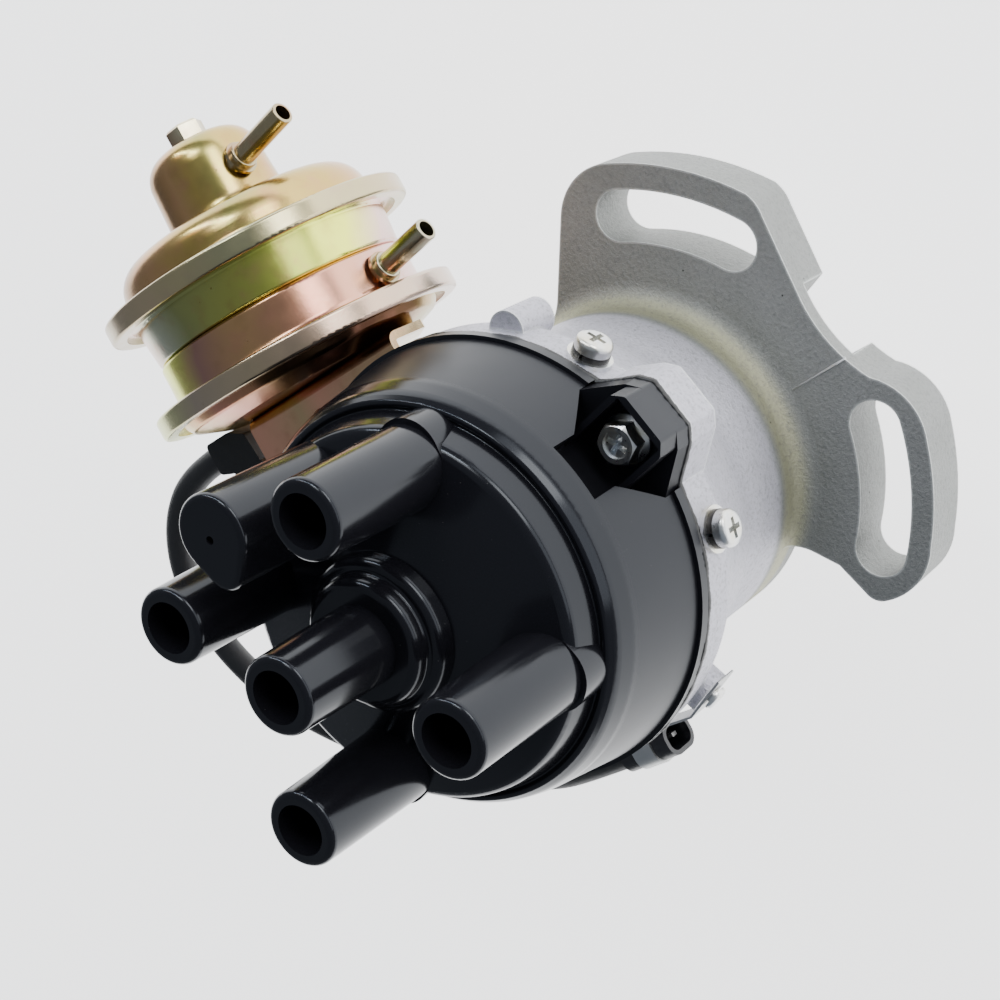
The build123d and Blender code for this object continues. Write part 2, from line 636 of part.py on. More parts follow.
def reluctor():
    """Four-pointed rotor whose teeth pass the pickup's core."""
    wheel = Sketch() + Circle(RELUCTOR_R - 3.2)
    for angle in range(0, 360, 90):
        wheel += turn(angle) * (Pos(RELUCTOR_R - 4, 0) * Rectangle(8, 3.4))
    wheel = wheel & Circle(RELUCTOR_R)
    return slab(wheel - Circle(SLEEVE_R), RELUCTOR_Z, RELUCTOR_Z + RELUCTOR_T)


def base_plate():
    """Fixed plate with two upturned tabs that the bowl's screws enter."""
    plate = slab(Circle(BASE_R) - Circle(RELUCTOR_R + 1.5), BASE_Z, BASE_Z + BASE_T)
    plate -= slab(Pos(BASE_R + 5, BASE_R - 4) * Circle(18), BASE_Z - 1, BASE_Z + BASE_T + 1)
    for angle in PLATE_SCREW_TURNS:
        tab = block(BASE_R - 2, BASE_R, -5, 5, BASE_Z, PLATE_SCREW_Z + 4)
        plate += turn(angle) * tab
        plate -= radial_frame(angle, BASE_R, PLATE_SCREW_Z) * Cylinder(PLATE_SCREW_R, 10)
    return plate


def pickup_plate():
    """Turning plate of the vacuum advance, with the pin that the pull rod's eye drops over."""
    plate = slab(Circle(PICKUP_R) - Circle(RELUCTOR_R + 2), PICKUP_Z, PICKUP_Z + PICKUP_T)
    ring = tube(RELUCTOR_R + 3.4, RELUCTOR_R + 2, BASE_Z + BASE_T + 0.05, PICKUP_Z)
    return plate + ring + rod(EYE_PIN_R, PICKUP_Z, EYE_Z + ROD_T + 1.2, 0, CAN_Y)


def pickup_magnet():
    return turn(-100) * block(MAGNET_R - 7, MAGNET_R, -8, 8, PICKUP_Z + PICKUP_T, PICKUP_Z + PICKUP_T + 5.5)


def pickup_core():
    """Laminated core that reaches in to the reluctor's teeth."""
    top = PICKUP_Z + PICKUP_T + 5.5
    arm = block(RELUCTOR_R + AIR_GAP, MAGNET_R - 2, -2.2, 2.2, top, top + 2)
    foot = block(MAGNET_R - 7, MAGNET_R, -6, 6, top, top + 2)
    return turn(-100) * (arm + foot)


def pickup_coil():
    top = PICKUP_Z + PICKUP_T + 5.5
    former = Pos(20, 0, top + 1) * Rot(0, 90, 0) * Cylinder(4.4, 6.5)
    return turn(-100) * (former - block(10, 30, -2.2, 2.2, top, top + 2))


def plate_screw_parts():
    """Cross-head screws with their spring and flat washers, standing out round the bowl."""
    screws, spring_washers, flat_washers = [], [], []
    for angle in PLATE_SCREW_TURNS:
        side = radial_frame(angle, PLATE_FLAT_R, PLATE_SCREW_Z)
        flat_washers.append(side * tube(4.5, PLATE_SCREW_R, 0, 0.9))
        spring = tube(3.7, PLATE_SCREW_R, 0.9, 2.0) - block(0, 5, -0.35, 0.35, 0, 3)
        spring_washers.append(side * spring)
        head = turned((0, 2.0), (3.6, 2.0), (3.6, 4.6, 1.2), (0, 4.6))
        head -= slab(Rectangle(4, 1) + Rectangle(1, 4), 3.2, 6)
        screws.append(side * (head + rod(PLATE_SCREW_R, BASE_R - 3 - PLATE_FLAT_R, 2.0)))
    return screws, spring_washers, flat_washers


# ---------------------------------------------------------------- vacuum unit
RUBBER = 1.0
HEM = 1.0
INNER_STACK = RUBBER / 2 + SHEET
BRACKET_X = DISH_X - BRACKET_T


def along_can(solid):
    return can_frame() * solid


def crimped_rim(x):
    """Section of a rim that wraps round the rubber and the sheet below it."""
    return [
        (CRIMP_R, x + INNER_STACK, 0.8),
        (CRIMP_R, x - INNER_STACK - HEM, 0.8),
        (CRIMP_R - 3, x - INNER_STACK - HEM),
        (CRIMP_R - 3, x - INNER_STACK),
        (CRIMP_R - HEM, x - INNER_STACK),
        (CRIMP_R - HEM, x + RUBBER / 2),
    ]


def vacuum_cover():
    """Outer pressing: shoulder and small tube in one draw."""
    skin = turned(
        *crimped_rim(RIM_A_X),
        (DRUM_R - SHEET, RIM_A_X + RUBBER / 2, 1.0), (DRUM_R - 2 * SHEET, DOME_X - SHEET, 5.5),
        (TUBE_R - SHEET, DOME_X - SHEET, 4.0), (TUBE_TIP_R - SHEET, TUBE_X - SHEET, 4.8), (0, TUBE_X - SHEET),
        (0, TUBE_X), (TUBE_TIP_R, TUBE_X, 6.0), (TUBE_R, DOME_X, 2.8), (DRUM_R - SHEET, DOME_X, 6.7),
        (DRUM_R, RIM_A_X + INNER_STACK, 1.4))
    return along_can(skin - rod(3.0, TUBE_X - 5, TUBE_X + 1)) - nipple_hole(NIPPLES[0])


def outer_drum():
    skin = turned(
        (CRIMP_R - HEM, RIM_A_X - RUBBER / 2), (CRIMP_R - HEM, RIM_A_X - INNER_STACK),
        (DRUM_R + 0.4, RIM_A_X - INNER_STACK, 1.2), (DRUM_R - 0.4, JOINT_X, 1.0), (ROD_HOLE_R, JOINT_X),
        (ROD_HOLE_R, JOINT_X + SHEET), (DRUM_R - 0.4 - SHEET, JOINT_X + SHEET),
        (DRUM_R + 0.4 - SHEET, RIM_A_X - RUBBER / 2))
    return along_can(skin)


def inner_drum():
    skin = turned(
        *crimped_rim(RIM_B_X),
        (DRUM_R - SHEET, RIM_B_X + RUBBER / 2), (DRUM_R - SHEET, JOINT_X - SHEET), (ROD_HOLE_R, JOINT_X - SHEET),
        (ROD_HOLE_R, JOINT_X), (DRUM_R - 0.2, JOINT_X, 1.0), (DRUM_R, RIM_B_X + INNER_STACK, 1.4))
    return along_can(skin) - nipple_hole(NIPPLES[1])


def vacuum_dish():
    skin = turned(
        (CRIMP_R - HEM, RIM_B_X - RUBBER / 2), (CRIMP_R - HEM, RIM_B_X - INNER_STACK),
        (DRUM_R + 1.6, RIM_B_X - INNER_STACK, 0.8), (DRUM_R, DISH_X + 2.4, 2), (DRUM_R - 6.4, DISH_X, 3),
        (4.2, DISH_X), (4.2, DISH_X + SHEET), (DRUM_R - 6.4, DISH_X + SHEET, 2), (DRUM_R - 1.1, DISH_X + 3.2, 1),
        (DRUM_R + 0.4, RIM_B_X - RUBBER / 2))
    return along_can(skin)


def diaphragm(x, hole):
    """Rubber diaphragm with one rolled fold, clamped in a rim."""
    low, high, fold_r = x - RUBBER / 2, x + RUBBER / 2, DRUM_R - 6.9
    return along_can(turned(
        (CRIMP_R - HEM, high), (CRIMP_R - HEM, low), (fold_r + 3.5, low, 1), (fold_r + 1.5, x - 3, 1.2),
        (fold_r - 1.5, x - 3, 1.2), (fold_r - 3.5, low, 1), (hole, low), (hole, high), (fold_r - 2.7, high, 1),
        (fold_r - 0.9, x - 2, 0.4), (fold_r + 0.9, x - 2, 0.4), (fold_r + 2.7, high, 1)))


PISTON_R = DRUM_R - 14.4


def piston(x):
    """Pressed cup that the rod pulls the diaphragm with."""
    cup = turned((ROD_W / 2, x - 0.7), (PISTON_R - 2, x - 0.7), (PISTON_R - 2, x + 3), (PISTON_R - 0.8, x + 3),
                 (PISTON_R - 0.8, x + 0.7), (PISTON_R, x + 0.7), (PISTON_R, x - 1.9), (ROD_W / 2, x - 1.9))
    return along_can(cup)


def pull_rod():
    """Flat rod with an eye at the pickup plate, riveted through the pistons at its far end."""
    eye = Pos(0, CAN_Y) * Circle(4.2)
    hole = Pos(0, CAN_Y) * Rot(0, 0, 90) * SlotCenterToCenter(1.6, 2 * (EYE_PIN_R + 0.15))
    flat = slab(eye + Pos(25, CAN_Y) * Rectangle(52, ROD_W) - hole, EYE_Z, EYE_Z + ROD_T)
    bar = along_can(rod(ROD_W / 2, 50, RIM_A_X + 1.5))
    return flat + bar


def vacuum_spring():
    return along_can(coil(8.0, 0.8, RIM_A_X - 0.7, TUBE_X - SHEET - VACUUM_TRAVEL - 1.5, 6))


def vacuum_plug():
    """Hexagon plug that closes the tube and stops the spring."""
    body = slab(RegularPolygon(3.6, 6, major_radius=False), TUBE_X, TUBE_X + 4.2)
    body = chamfer(body.faces().sort_by(Axis.Z)[-1].edges(), 0.5)
    return along_can(body + rod(3.0, TUBE_X - 9, TUBE_X))


# (x along the unit, distance of the foot from its axis, height above its axis, length)
NIPPLES = ((DOME_X + 7.6, TUBE_R - 1.1, 3.5, 17.0), (RIM_B_X + 5.5, DRUM_R - 0.1, 0.0, 15.5))


def nipple_frame(place):
    """Frame whose Z runs out along a nipple, from its foot."""
    x, foot, rise, _ = place
    lean = radians(NIPPLE_LEAN)
    z_dir = (sin(lean), -cos(lean), 0)
    return Plane(origin=(x, CAN_Y - foot, CAN_Z + rise), x_dir=(0, 0, 1), z_dir=z_dir)


def nipple_hole(place):
    return nipple_frame(place) * Cylinder(NIPPLE_R, 8)


def nipple(place):
    length = place[-1]
    collar, ring = NIPPLE_R + 1.25, NIPPLE_R + 0.65
    body = turned((NIPPLE_BORE_R, -1.5), (NIPPLE_R, -1.5), (NIPPLE_R, 0.9), (collar, 0.9), (collar, 1.7),
                  (ring, 1.7), (ring, 2.9, 0.3), (NIPPLE_R, 2.9), (NIPPLE_R, length, 0.3), (NIPPLE_BORE_R, length))
    return nipple_frame(place) * body


def vacuum_bracket():
    """Bent plate: one leg on the dish, the other on the housing's lugs beside the rim."""
    near, far = 2.0, 48.0
    inner, low = BRACKET_LUGS[1][0] - 5, CAN_Z - 14
    section = FilletPolyline(
        (inner, BRACKET_Z), (BRACKET_X, BRACKET_Z), (BRACKET_X, low), (DISH_X, low), (DISH_X, BRACKET_TOP),
        (inner, BRACKET_TOP), radius=[0, 0.6, 0, 0, 0.6 + BRACKET_T, 0], close=True)
    side = Plane(origin=(0, far, 0), x_dir=(1, 0, 0), z_dir=(0, -1, 0))
    shape = side * extrude(make_face(section), far - near)
    leg = FilletPolyline((near, BRACKET_TOP + 1), (near, BRACKET_Z - 10), (14, low), (far - 4, low),
                         (far, BRACKET_Z - 10), (far, BRACKET_TOP + 1), radius=[0, 2, 3, 3, 2, 0], close=True)
    facing = Plane(origin=(0, 0, 0), x_dir=(0, 1, 0), z_dir=(1, 0, 0))
    shape = shape & (facing * extrude(make_face(leg), DISH_X + 1))
    shape -= rod(BOWL_R + 0.3, BRACKET_Z - 1, BRACKET_TOP + 1)
    shape -= along_can(rod(4.2, BRACKET_X - 1, DISH_X + 1))
    for x, y in BRACKET_LUGS:
        shape -= rod(PLATE_SCREW_R, BRACKET_Z - 1, BRACKET_TOP + 1, x, y)
    return shape


def bracket_screws():
    screws = []
    for x, y in BRACKET_LUGS:
        head = turned((0, BRACKET_TOP), (3.0, BRACKET_TOP), (3.0, BRACKET_TOP + 2.4, 1.2), (0, BRACKET_TOP + 2.4))
        head -= slab(Rectangle(4, 1) + Rectangle(1, 4), BRACKET_TOP + 1.2, BRACKET_TOP + 3)
        screws.append(Pos(x, y, 0) * head + rod(PLATE_SCREW_R, BRACKET_Z - 5, BRACKET_TOP, x, y))
    return screws


# ---------------------------------------------------------------- rotor
HUB_LOW = SLEEVE_TOP - 5.5


def rotor_arm():
    """Moulded rotor: a socket over the sleeve, a collar and the arm that carries the blade."""
    collar_r = 17.0
    shape = turned((0, HUB_LOW), (11, HUB_LOW), (11, SLEEVE_TOP + 4, 2), (collar_r, SLEEVE_TOP + 8, 2),
                   (collar_r, ROTOR_Z - 6, 2), (11, ROTOR_Z, 3), (0, ROTOR_Z))
    arm = slab(Pos(ROTOR_TIP_R / 2 - 2, 0) * Rectangle(ROTOR_TIP_R - 4, 13), ROTOR_Z - 6, ROTOR_Z)
    tail = slab(Pos(-11, 0) * Rectangle(14, 11), ROTOR_Z - 6, ROTOR_Z)
    shape += fillet(arm.edges().filter_by(Axis.Z), 2) + fillet(tail.edges().filter_by(Axis.Z), 3)
    shape -= rod(SLEEVE_R, HUB_LOW - 1, SLEEVE_TOP)
    shape -= rotor_screw_frame() * rod(1.4, 0, 4)
    return shape - rod(STUB_R + GAP, SLEEVE_TOP - 1, STUB_TOP + 0.5)


def rotor_blade():
    """Brass blade from the centre to the spark gap."""
    blade = Pos((ROTOR_TIP_R - 4) / 2, 0) * Rectangle(ROTOR_TIP_R + 4, 7) + Pos(ROTOR_TIP_R - 3, 0) * Rectangle(6, 11)
    blade = blade & Circle(ROTOR_TIP_R)
    return slab(blade + Circle(5.5), ROTOR_Z, ROTOR_Z + BLADE_T)


def rotor_screw_frame():
    return radial_frame(180, SLEEVE_R, SLEEVE_TOP - 2.6)


def rotor_screw():
    """Set screw through the rotor's socket on to the sleeve."""
    return rotor_screw_frame() * (rod(1.4, 0, 3.0) + rod(2.4, 3.0, 4.6) - block(-3, 3, -0.4, 0.4, 3.8, 5))


# ---------------------------------------------------------------- lead, duct and connector
PLUG_T = 0.5
PLUG_X = -BOWL_R - PLUG_W / 2
PLUG_Y = 1.5
PLUG_Z = CLIP_BOSS_Z - 2.9
PLUG_BACK_Y = PLUG_Y + PLUG_L / 2

# Middle line of the pickup lead, from its duct beside the vacuum unit to its connector.
LEAD_ROUTE = [
    (DUCT_X, 65.0, 60.0),
    (DUCT_X, 76.5, 60.0),
    (40.0, 88.0, 60.6),
    (27.5, 96.0, 60.0),
    (11.5, 98.5, 58.0),
    (-5.0, 95.5, 54.5),
    (-19.5, 86.5, 51.0),
    (-31.0, 73.5, 48.8),
    (-39.5, 59.0, 48.2),
    (-45.2, 44.0, 49.5),
    (-47.9, 31.0, 52.6),
    (PLUG_X, PLUG_BACK_Y + 12, PLUG_Z),
    (PLUG_X, PLUG_BACK_Y, PLUG_Z),
]


def duct_bar(width, height, inward=0.0):
    """Straight bar along the lead's duct, from the bowl's wall to its elbow."""
    (x0, y0), (x1, y1) = DUCT_START, DUCT_END
    length = hypot(x1 - x0, y1 - y0)
    frame = Plane(origin=(x0, y0, DUCT_Z), x_dir=(x1 - x0, y1 - y0, 0), z_dir=(0, 0, 1))
    return frame * block(-inward, length, -width / 2, width / 2, -height / 2, height / 2)


def lead_duct():
    """Moulded rubber duct that takes the lead through the wall and turns it past the vacuum unit."""
    x, y, z = LEAD_ROUTE[0]
    outline = FilletPolyline((x - 7.6, y - 13), (x + 1.4, y - 12.2), (x + 3.6, y - 7.5), (x + 3.6, y), (x - 3.6, y),
                             radius=1.0, close=True)
    return duct_bar(DUCT_W, DUCT_H) + slab(make_face(outline), z - DUCT_H / 2, z + DUCT_H / 2)


def lead_path():
    """Straight runs joined by arcs as large as the runs allow."""
    points = [Vector(*p) for p in LEAD_ROUTE]
    radii = []
    for before, here, after in zip(points, points[1:], points[2:]):
        turn_angle = (here - before).get_angle(after - here)
        shorter = min((here - before).length, (after - here).length)
        radii.append(0.45 * shorter / sin(radians(turn_angle / 2)) * cos(radians(turn_angle / 2)))
    return FilletPolyline(*points, radius=radii), radii


def pickup_lead():
    path, radii = lead_path()
    print("lead length", round(path.length, 1), "mm, bend radii", [round(r, 1) for r in radii])
    section = Plane(origin=path @ 0, z_dir=path % 0) * Circle(LEAD_R)
    return sweep(section, path)


def plug_frame(y):
    """Frame across the connector, with its Z running from the mouth to the lead."""
    return Plane(origin=(PLUG_X, y, PLUG_Z), x_dir=(-1, 0, 0), z_dir=(0, 1, 0))


def connector():
    """Two-way connector: rounded shell with a deep mouth at the end away from the lead."""
    front = plug_frame(PLUG_Y - PLUG_L / 2)
    shell = front * extrude(RectangleRounded(PLUG_W, PLUG_H, 3.0), PLUG_L)
    return shell - front * extrude(RectangleRounded(PLUG_W - 2.0, PLUG_H - 2.0, 2.0), 7)


def connector_pins():
    front = plug_frame(PLUG_Y - PLUG_L / 2 + 2.5)
    return [front * block(-0.4, 0.4, v - 0.8, v + 0.8, 0, 4.5) for v in (-2.0, 2.0)]


def connector_clip():
    """Steel strap round the connector, with a tail riveted to the housing's boss."""
    outer = RectangleRounded(PLUG_W + 2 * PLUG_T, PLUG_H + 2 * PLUG_T, 3.0 + PLUG_T)
    strap = plug_frame(PLUG_Y - 2.5) * extrude(outer - RectangleRounded(PLUG_W, PLUG_H, 3.0), 5)
    spread = 6.5
    seat = (CLIP_SEAT_R + PLUG_T / 2) / cos(radians(spread))
    back = PLUG_X + PLUG_W / 2 + PLUG_T / 2
    bends = [(back, PLUG_Y), (back, PLUG_Y - 8), polar(seat, CLIP_TURN - spread), polar(seat, CLIP_TURN + spread)]
    tail = Sketch()
    for here, there in zip(bends, bends[1:]):
        tail += make_hull((Pos(*here) * Circle(PLUG_T / 2) + Pos(*there) * Circle(PLUG_T / 2)).edges())
    clip = strap + slab(tail, CLIP_BOSS_Z - 3, CLIP_BOSS_Z + 3)
    return clip - clip_rivet_frame() * rod(RIVET_R, -2, 2)


def clip_rivet_frame():
    return radial_frame(CLIP_TURN, CLIP_SEAT_R, CLIP_BOSS_Z)


def clip_screw():
    """Round-head drive screw that holds the tail to its boss."""
    head = turned((0, 1.0), (2.6, 1.0), (2.6, 2.0, 0.9), (0, 2.0))
    return clip_rivet_frame() * (head + rod(RIVET_R, -5, 1.0))


# ---------------------------------------------------------------- export
def build():
    plate_screws, plate_spring_washers, plate_washers = plate_screw_parts()
    return {
        "housing": housing(),
        "o_ring": o_ring(),
        "cap": cap(),
        "cap_seal": cap_seal(),
        "cap_screws": cap_screws(),
        "outer_terminals": outer_terminals(),
        "centre_terminal": centre_terminal(),
        "carbon_brush": carbon_brush(),
        "brush_spring": brush_spring(),
        "shaft": shaft(),
        "lower_bush": bush(-SPIGOT_L, LOWER_BUSH_L),
        "upper_bush": bush(FLOOR_Z - UPPER_BUSH_L, UPPER_BUSH_L),
        "thrust_washer": thrust_washer(),
        "oil_seal": bush(SEAL_Z, OIL_SEAL_L),
        "drive_coupling": drive_coupling(),
        "drive_pin": drive_pin(),
        "governor_plate": governor_plate(),
        "weight_pins": weight_pins(),
        "weight_a": weight(0),
        "weight_b": weight(180),
        "governor_springs": governor_springs(),
        "advance_sleeve": advance_sleeve(),
        "reluctor": reluctor(),
        "base_plate": base_plate(),
        "pickup_plate": pickup_plate(),
        "pickup_magnet": pickup_magnet(),
        "pickup_core": pickup_core(),
        "pickup_coil": pickup_coil(),
        "plate_screws": plate_screws,
        "plate_spring_washers": plate_spring_washers,
        "plate_washers": plate_washers,
        "vacuum_cover": vacuum_cover(),
        "outer_drum": outer_drum(),
        "inner_drum": inner_drum(),
        "vacuum_dish": vacuum_dish(),
        "outer_diaphragm": diaphragm(RIM_A_X, PISTON_R + GAP),
        "inner_diaphragm": diaphragm(RIM_B_X, PISTON_R + GAP),
        "outer_piston": piston(RIM_A_X),
        "inner_piston": piston(RIM_B_X),
        "pull_rod": pull_rod(),
        "vacuum_spring": vacuum_spring(),
        "vacuum_plug": vacuum_plug(),
        "outer_nipple": nipple(NIPPLES[0]),
        "inner_nipple": nipple(NIPPLES[1]),
        "vacuum_bracket": vacuum_bracket(),
        "bracket_screws": bracket_screws(),
        "rotor_arm": rotor_arm(),
        "rotor_blade": rotor_blade(),
        "rotor_screw": rotor_screw(),
        "lead_duct": lead_duct(),
        "pickup_lead": pickup_lead(),
        "connector": connector(),
        "connector_pins": connector_pins(),
        "connector_clip": connector_clip(),
        "clip_screw": clip_screw(),
    }


os.makedirs("parts", exist_ok=True)
for node, shape in build().items():
    solids = shape if isinstance(shape, list) else [shape]
    export_step(Compound([s for part in solids for s in part.solids()]), f"parts/{node}.step")
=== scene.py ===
import bpy
from math import pi, radians
from mathutils import Matrix, Quaternion, Vector


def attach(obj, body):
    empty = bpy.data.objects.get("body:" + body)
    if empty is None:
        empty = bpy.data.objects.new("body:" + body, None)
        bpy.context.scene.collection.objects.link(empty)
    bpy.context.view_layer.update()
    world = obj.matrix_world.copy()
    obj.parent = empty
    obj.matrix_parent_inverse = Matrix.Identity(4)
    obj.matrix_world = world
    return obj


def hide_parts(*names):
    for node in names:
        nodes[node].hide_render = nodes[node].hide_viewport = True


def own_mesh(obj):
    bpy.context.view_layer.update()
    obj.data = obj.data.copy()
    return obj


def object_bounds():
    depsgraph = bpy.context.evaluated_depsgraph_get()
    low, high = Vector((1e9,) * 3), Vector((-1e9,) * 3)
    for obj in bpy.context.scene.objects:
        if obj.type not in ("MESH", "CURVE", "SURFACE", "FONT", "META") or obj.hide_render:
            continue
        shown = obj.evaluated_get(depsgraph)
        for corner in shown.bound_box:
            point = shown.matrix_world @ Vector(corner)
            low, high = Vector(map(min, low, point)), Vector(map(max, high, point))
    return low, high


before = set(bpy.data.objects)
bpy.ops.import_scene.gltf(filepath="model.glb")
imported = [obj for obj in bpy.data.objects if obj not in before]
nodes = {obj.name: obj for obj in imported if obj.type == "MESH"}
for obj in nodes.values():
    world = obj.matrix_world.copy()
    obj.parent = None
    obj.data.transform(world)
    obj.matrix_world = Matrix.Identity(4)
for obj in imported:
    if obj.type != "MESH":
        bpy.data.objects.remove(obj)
cad_box = [list(corner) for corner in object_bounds()]
bpy.ops.object.select_all(action="DESELECT")

# ---------------------------------------------------------------- distributor cap
# Glossy black moulded plastic. The face takes sharp reflections, the skirt was drawn from a less
# polished part of the mould, and the whole has faint sink marks and a little dust.


class Shade:
    """A value in a finish's node tree, so that a pattern is written as plain arithmetic."""

    def __init__(self, finish, socket):
        self.finish = finish
        self.socket = socket

    def __add__(self, other):
        return self.finish.math("ADD", self, other)

    def __sub__(self, other):
        return self.finish.math("SUBTRACT", self, other)

    def __rsub__(self, other):
        return self.finish.math("SUBTRACT", other, self)

    def __mul__(self, other):
        return self.finish.math("MULTIPLY", self, other)

    def __truediv__(self, other):
        return self.finish.math("DIVIDE", self, other)

    def __pow__(self, other):
        return self.finish.math("POWER", self, other)

    __radd__ = __add__
    __rmul__ = __mul__


class Finish:
    """A material with one Principled shader, whose constants are set first."""

    def __init__(self, name, constants):
        self.material = bpy.data.materials.new(name)
        self.material.use_nodes = True
        self.tree = self.material.node_tree
        self.shader = self.tree.nodes["Principled BSDF"]
        for socket, value in constants.items():
            self.shader.inputs[socket].default_value = value
        self.place = self.node("TexCoord", output="Object")

    def node(self, kind, settings=None, inputs=(), output=0):
        """One new node: its settings first, then the values or links of its sockets."""
        made = self.tree.nodes.new("ShaderNode" + kind)
        for name, value in (settings or {}).items():
            if name == "stops":
                while len(made.color_ramp.elements) < len(value):
                    made.color_ramp.elements.new(0.5)
                for stop, (position, colour) in zip(made.color_ramp.elements, value):
                    stop.position = position
                    stop.color = (*colour, 1)
            else:
                setattr(made, name, value)
        for socket, value in (inputs.items() if isinstance(inputs, dict) else enumerate(inputs)):
            self.feed(made.inputs[socket], value)
        return Shade(self, made.outputs[output])

    def feed(self, socket, value):
        if isinstance(value, Shade):
            self.tree.links.new(value.socket, socket)
        else:
            socket.default_value = value

    def math(self, operation, *values):
        return self.node("Math", {"operation": operation}, values)

    def step(self, value, low, high):
        """0 below low, 1 above high, smooth between."""
        return self.node("MapRange", {"interpolation_type": "SMOOTHSTEP"},
                         {"Value": value, "From Min": low, "From Max": high})

    def noise(self, size, detail=3.0, rough=0.5, place=None):
        """Cloudy noise from 0 to 1, with lumps of about that size in metres."""
        return self.node("TexNoise", {}, {
            "Vector": place or self.place, "Scale": 1 / size, "Detail": detail, "Roughness": rough})

    def spots(self, size):
        """Distance to the nearest of some scattered points, in parts of that size."""
        return self.node("TexVoronoi", {}, {"Vector": self.place, "Scale": 1 / size})

    def axis(self, letter):
        return self.node("SeparateXYZ", {}, [self.place], output=letter)

    def mix(self, factor, first, second):
        return self.node("Mix", {"data_type": "RGBA"}, {0: factor, 6: first, 7: second}, output=2)

    def two_tone(self, size, first, second, detail=3.0):
        """Base colour that drifts between two in patches of that size."""
        self.set("Base Color", self.mix(self.noise(size, detail), rgba(*first), rgba(*second)))

    def bump(self, height, depth, strength=1.0):
        """Relief of that depth in metres."""
        inputs = {"Height": height, "Distance": depth, "Strength": strength}
        self.set("Normal", self.node("Bump", {}, inputs))

    def set(self, socket, value):
        self.feed(self.shader.inputs[socket], value)

    def dress(self, *names):
        """Give this finish to carried-over nodes."""
        for name in names:
            for place in nodes[name].material_slots:
                place.material = self.material


def rgba(red, green, blue):
    return (red, green, blue, 1)


SKIRT_ENDS = (0.0885, 0.0905)
PLASTIC_BLACK, DUST_GREY = (0.0065, 0.0065, 0.0085), (0.16, 0.15, 0.14)
cap_plastic = Finish("cap_plastic", {
    "IOR": 1.46, "Specular IOR Level": 0.38, "Specular Tint": rgba(0.86, 0.92, 1.0)})
skirt = 1 - cap_plastic.step(cap_plastic.axis("Z"), *SKIRT_ENDS)
cloud = cap_plastic.noise(0.011)
dust = 1 - cap_plastic.step(cap_plastic.spots(0.0016), 0.03, 0.07)
thin_dust = dust * cap_plastic.step(cap_plastic.noise(0.02), 0.52, 0.6)
cap_plastic.set("Base Color", cap_plastic.mix(
    thin_dust * 0.35, rgba(*PLASTIC_BLACK), rgba(*DUST_GREY)))
cap_plastic.set("Roughness", 0.13 + skirt * 0.17 + cloud * 0.07 + thin_dust * 0.3)
sink_marks = cap_plastic.noise(0.013, 1.0) + cap_plastic.noise(0.0006, 2.0) * 0.02
cap_plastic.bump(sink_marks, 0.00016, 0.6)
cap_plastic.dress("cap")

# ---------------------------------------------------------------- cap seal
# Black sealing compound between the cap and the housing. It was squeezed out when the screws were
# tightened, so its edge is lumpy and stands proud here and there.
SEAL_VOXEL = 0.00042
LUMP_ACROSS = 0.0075
LUMP_PROUD = 0.0009


def fresh_copy(node, name, gap):
    """A copy of a node's mesh, at the origin, whose points nearer than gap are merged."""
    bpy.ops.object.select_all(action="DESELECT")
    piece = nodes[node].copy()
    piece.data = nodes[node].data.copy()
    piece.name = name
    bpy.context.collection.objects.link(piece)
    piece.parent = None
    piece.matrix_world = Matrix.Identity(4)
    piece.data.materials.clear()
    bpy.context.view_layer.objects.active = piece
    piece.select_set(True)
    bpy.ops.object.mode_set(mode="EDIT")
    bpy.ops.mesh.select_all(action="SELECT")
    bpy.ops.mesh.remove_doubles(threshold=gap)
    bpy.ops.object.mode_set(mode="OBJECT")
    return piece


seal = fresh_copy("cap_seal", "seal_bead", 0.00001)
squeeze = seal.modifiers.new("squeeze", "REMESH")
squeeze.mode = "VOXEL"
squeeze.voxel_size = SEAL_VOXEL
lumps = bpy.data.textures.new("seal_lumps", "CLOUDS")
lumps.noise_scale = LUMP_ACROSS
lumps.noise_depth = 2
swell = seal.modifiers.new("swell", "DISPLACE")
swell.texture = lumps
swell.strength = LUMP_PROUD
swell.mid_level = 0.35
for modifier in ("squeeze", "swell"):
    bpy.ops.object.modifier_apply(modifier=modifier)
bpy.ops.object.shade_smooth()

seal_rubber = Finish("seal_rubber", {"Base Color": rgba(0.008, 0.008, 0.008), "IOR": 1.5})
seal_rubber.set("Roughness", 0.22 + seal_rubber.noise(0.002) * 0.3)
seal_rubber.bump(seal_rubber.noise(0.0012, 4.0), 0.0003, 0.5)
seal.data.materials.append(seal_rubber.material)
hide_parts("cap_seal")
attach(seal, "body")

# ---------------------------------------------------------------- screws with bright zinc plating
# The screws of the cap, the plate and the bracket, and the clip with its drive screw. Cold-headed
# steel, barrel plated: bright, faintly blue and yellow. The spring washers are left dark.
ZINC_BLUE, ZINC_WHITE, ZINC_STRAW = (0.60, 0.63, 0.66), (0.78, 0.78, 0.75), (0.74, 0.70, 0.58)
bright_zinc = Finish("bright_zinc", {"Metallic": 1.0})
film = bright_zinc.noise(0.004, 2.0)
zinc_hues = {"stops": [(0.3, ZINC_BLUE), (0.5, ZINC_WHITE), (0.7, ZINC_STRAW)]}
bright_zinc.set("Base Color", bright_zinc.node("ValToRGB", zinc_hues, [film]))
bright_zinc.set("Roughness", 0.2 + bright_zinc.noise(0.0012, 4.0) * 0.22)
bright_zinc.bump(bright_zinc.noise(0.0005, 3.0), 0.00004, 0.5)
bright_zinc.dress("cap_screws", "plate_screws", "plate_washers", "bracket_screws", "clip_screw")

